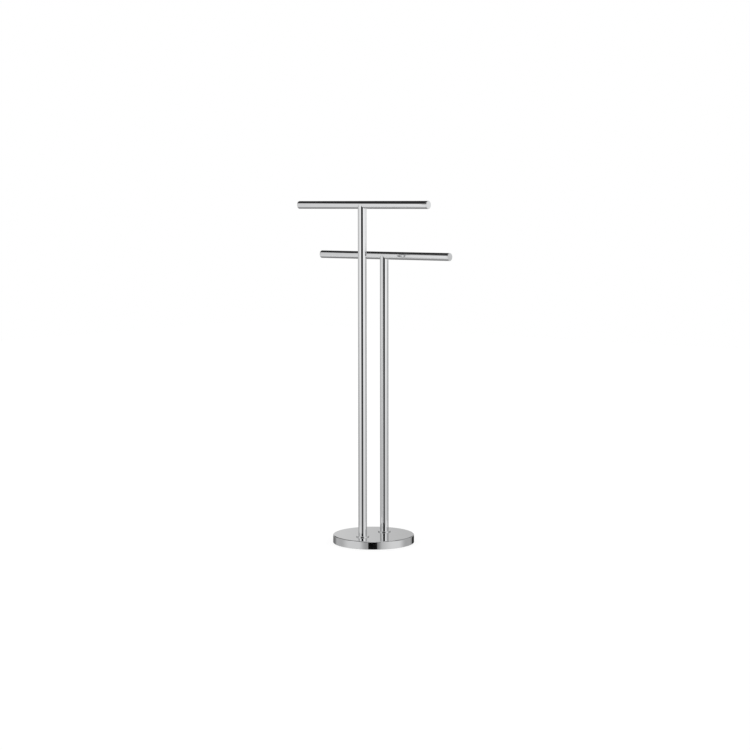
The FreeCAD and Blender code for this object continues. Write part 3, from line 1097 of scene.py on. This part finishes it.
@dataclass(frozen=True)
class Studio:
    """Soft even light, a pale floor, and the cards and flags that the chrome mirrors.

    The surroundings are fixed in the room. A turn is in degrees round from the main view's direction
    and a rise in degrees above the level. A pair says where one part begins and ends to fade into the
    next.

    Attributes:
        wall: Brightness of the bare wall above eye level, just below it, and further down.
        eye_rise: Where the part above eye level begins.
        lower_rise: Where the part further down ends and the one just below eye level begins.
        wall_cards: What stands in front of the wall, each over the ones before it.
        near_cards: The cards close to the stand.
        upper_wall: Brightness of the wall just under the ceiling.
        upper_wall_rise: Where it begins.
        ceiling: Brightness of the ceiling.
        ceiling_front: Rise of its edge in front of the stand.
        ceiling_back: Rise of its edge at the stand's sides and behind it.
        ceiling_turn: Where the one changes into the other.
        ceiling_fade: How far from its edge it begins and ends to fade in.
        flag: Brightness of the dark part of the ceiling, behind the stand on the left.
        flag_middle: The turn of its middle.
        flag_fade: How far from its middle it fades into the ceiling.
        near_floor: Brightness of the floor in front and at the sides.
        far_floor: Brightness of the floor behind.
        floor_turn: Where the one changes into the other.
        floor_rise: Where the floor ends.
        ground: Brightness of the floor close to the stand.
        ground_rise: Where it ends.
        overhead: Brightness of the light bank over the stand.
        overhead_rise: Where it begins.
        overhead_side: Where it ends to the left and right, as a sine of the angle from its middle.
        floor_size: Half the width of the floor that the camera sees.
        floor_glow: Brightness of that floor where no shadow falls.
        floor_tone: How much of that is lit, and so takes the shadow.
        floor_level: Height of that floor, a hair under the pad, so that the two share no plane.
    """

    wall: Triple = (0.28, 0.5, 0.5)
    eye_rise: Pair = (-1.0, 3.0)
    lower_rise: Pair = (-11.0, -1.0)
    wall_cards: tuple[WallCard, ...] = (
        WallCard("left softbox", -58, 14, 34, None, 1.0, 0.74),
        WallCard("upper left softbox", -54, 8, 20, 0.92, None, None),
        WallCard("right softbox", 48, 14, 34, 0.92, 1.0, None),
        WallCard("lower right softbox", 66, 8, 52, None, None, 0.8),
        WallCard("right wall", 124, 16, 32, 0.28, 0.5, 0.46),
        WallCard("far wall", 180, 34, 20, None, 0.5, 0.2),
        WallCard("upper far wall", 180, 16, 12, 0.54, None, None),
        WallCard("far light", -168, 10, 4, 0.68, None, None),
        WallCard("far right flag", 161.5, 16, 3, None, 0.2, 0.0),
        WallCard("inner edge of the right softbox", 36, 14, 6, 0.95, 1.0, None),
        WallCard("left fall-off at eye level", -14, 4, 20, 0.4, 0.4, None),
        WallCard("lower left fall-off", -14, 4, 24, None, None, 0.38),
        WallCard("lower right fall-off", 6, 4, 16, None, None, 0.25),
        WallCard("front gap", -2.5, 11.5, 2.5, 0.0, 0.0, 0.0),
        WallCard("front gap at eye level", -3.5, 23.0, 3.0, 0.0, 0.0, None),
    )
    near_cards: tuple[NearCard, ...] = (
        NearCard("left_white_card", -84, 0.577, 0.27, 0.08, 0.72, 1.15, 0.6, 0.88),
        NearCard("right_white_card", 109, 0.45, 0.33, 0.7, 0.78, 1.12, 0.78, 0.96),
        NearCard("left_grey_card", -93, 0.3, 0.13, 0.62, 0.15, 0.0, 0.5, 0.5),
        NearCard("right_grey_card", 94, 0.3, 0.12, 0.62, 0.15, 0.0, 0.5, 0.5),
    )
    upper_wall: float = 0.5
    upper_wall_rise: Pair = (12.5, 14.5)
    ceiling: float = 0.2
    ceiling_front: float = 27.0
    ceiling_back: float = 15.0
    ceiling_turn: Pair = (66.0, 72.0)
    ceiling_fade: Pair = (-1.5, 1.5)
    flag: float = 0.03
    flag_middle: float = -128.0
    flag_fade: Pair = (50.0, 60.0)
    near_floor: float = 0.82
    far_floor: float = 0.2
    floor_turn: Pair = (100.0, 145.0)
    floor_rise: Pair = (-17.0, -11.0)
    ground: float = 0.27
    ground_rise: Pair = (-50.0, -42.0)
    overhead: float = 1.0
    overhead_rise: Pair = (47.0, 53.0)
    overhead_side: Pair = (0.2, 0.26)
    floor_size: float = 6.0
    floor_glow: float = 1.02
    floor_tone: float = 0.2
    floor_level: float = -0.1 * MM

    def walls(self, sheet: NodeSheet, turn: Socket, rise: Socket) -> Socket:
        """Lays out the wall and its cards.

        Args:
            sheet: Where the nodes go.
            turn: Degrees round from the main view's direction.
            rise: Degrees above the level.

        Returns:
            The brightness in each direction.
        """
        levels: list[Source] = list(self.wall)
        for card in self.wall_cards:
            away = sheet.away_from(turn, card.middle)
            cover = sheet.ramp(away, card.half_width, card.half_width + card.softness, 1.0, 0.0)
            for number, level in enumerate((card.above, card.eye, card.below)):
                if level is not None:
                    levels[number] = sheet.mix(cover, levels[number], level)
        above, eye, below = levels
        under = sheet.mix(sheet.ramp(rise, *self.lower_rise), below, eye)
        return sheet.mix(sheet.ramp(rise, *self.eye_rise), under, above)

    def mirrored_room(self, sheet: NodeSheet, camera: StudioCamera) -> Socket:
        """Lays out what mirrors show of the room: floor, walls, ceiling and the light bank overhead.

        Args:
            sheet: Where the nodes go.
            camera: The camera from whose direction the room's turns are counted.

        Returns:
            The brightness in each direction.
        """
        way = sheet.add("TexCoord").outputs["Generated"]
        front, right = sheet.dot(way, camera.front()), sheet.dot(way, camera.right())
        turn = sheet.math("DEGREES", sheet.math("ARCTAN2", right, front))
        height = sheet.add("SeparateXYZ", i0=way).outputs[2]
        rise = sheet.math("DEGREES", sheet.math("ARCSINE", height))
        either_way = sheet.math("ABSOLUTE", turn)
        floor = sheet.ramp(either_way, *self.floor_turn, self.near_floor, self.far_floor)
        room = sheet.mix(sheet.ramp(rise, *self.floor_rise), floor, self.walls(sheet, turn, rise))
        room = sheet.mix(sheet.ramp(rise, *self.ground_rise), self.ground, room)
        room = sheet.mix(sheet.ramp(rise, *self.upper_wall_rise), room, self.upper_wall)
        from_flag = sheet.away_from(turn, self.flag_middle)
        ceiling = sheet.mix(sheet.ramp(from_flag, *self.flag_fade), self.flag, self.ceiling)
        edge = sheet.ramp(either_way, *self.ceiling_turn, self.ceiling_front, self.ceiling_back)
        over_edge = sheet.math("SUBTRACT", rise, edge)
        room = sheet.mix(sheet.ramp(over_edge, *self.ceiling_fade), room, ceiling)
        inside = sheet.ramp(sheet.math("ABSOLUTE", right), *self.overhead_side, 1.0, 0.0)
        bank = sheet.math("MULTIPLY", inside, sheet.ramp(rise, *self.overhead_rise))
        return sheet.mix(bank, room, self.overhead)

    def build_world(self, camera: StudioCamera) -> None:
        """Makes the surroundings: even white light, and the mirrored room for metal and glass alone.

        Args:
            camera: The camera from whose direction the room's turns are counted.
        """
        world = bpy.data.worlds.new("studio_world")
        bpy.context.scene.world = world
        world.use_nodes = True
        sheet = NodeSheet(world.node_tree)
        seen = sheet.mix(sheet.mirror_ray(), 1.0, self.mirrored_room(sheet, camera))
        white = sheet.grey(seen, (1.0, 1.0, 1.0))
        sheet.add("OutputWorld", Surface=sheet.add("Background", Color=white, Strength=1.0))

    def build_floor(self) -> None:
        """Makes the pale floor: it takes the stand's soft shadow, and isn't seen from below."""
        signs = ((-1, -1), (1, -1), (1, 1), (-1, 1))
        size, tone = self.floor_size, self.floor_tone
        corners = [Vector((x * size, y * size, self.floor_level)) for x, y in signs]
        floor, sheet = plain_rectangle("studio_floor", corners)
        lit = sheet.add("BsdfDiffuse", Color=(tone, tone, tone, 1))
        glow = sheet.add("Emission", Color=(1, 1, 1, 1), Strength=self.floor_glow - tone)
        solid = sheet.add("AddShader", i0=lit, i1=glow)
        below = sheet.add("NewGeometry").outputs["Backfacing"]
        unseen = sheet.math("MAXIMUM", below, sheet.mirror_ray())
        clear = sheet.add("BsdfTransparent")
        sheet.add("OutputMaterial", Surface=sheet.add("MixShader", i0=unseen, i1=solid, i2=clear))

    def build(self, camera: StudioCamera) -> None:
        """Makes the world, the floor and the near cards, and sets how the view handles colour.

        Args:
            camera: The camera from whose direction the room's turns are counted.
        """
        self.build_world(camera)
        self.build_floor()
        for card in self.near_cards:
            card.build(camera)
        bpy.context.scene.view_settings.view_transform = "Standard"


def main() -> None:
    """Builds the camera, the stand piece by piece and the studio."""
    logging.basicConfig(level=logging.INFO, format="%(name)s: %(message)s")
    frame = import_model()
    camera = StudioCamera()
    camera.build()
    Base().build()
    for side in Side:
        Upright(side).build()
    InnerPieces().dress(frame["nodes"])
    Studio().build(camera)


if __name__ == "__main__":
    main()
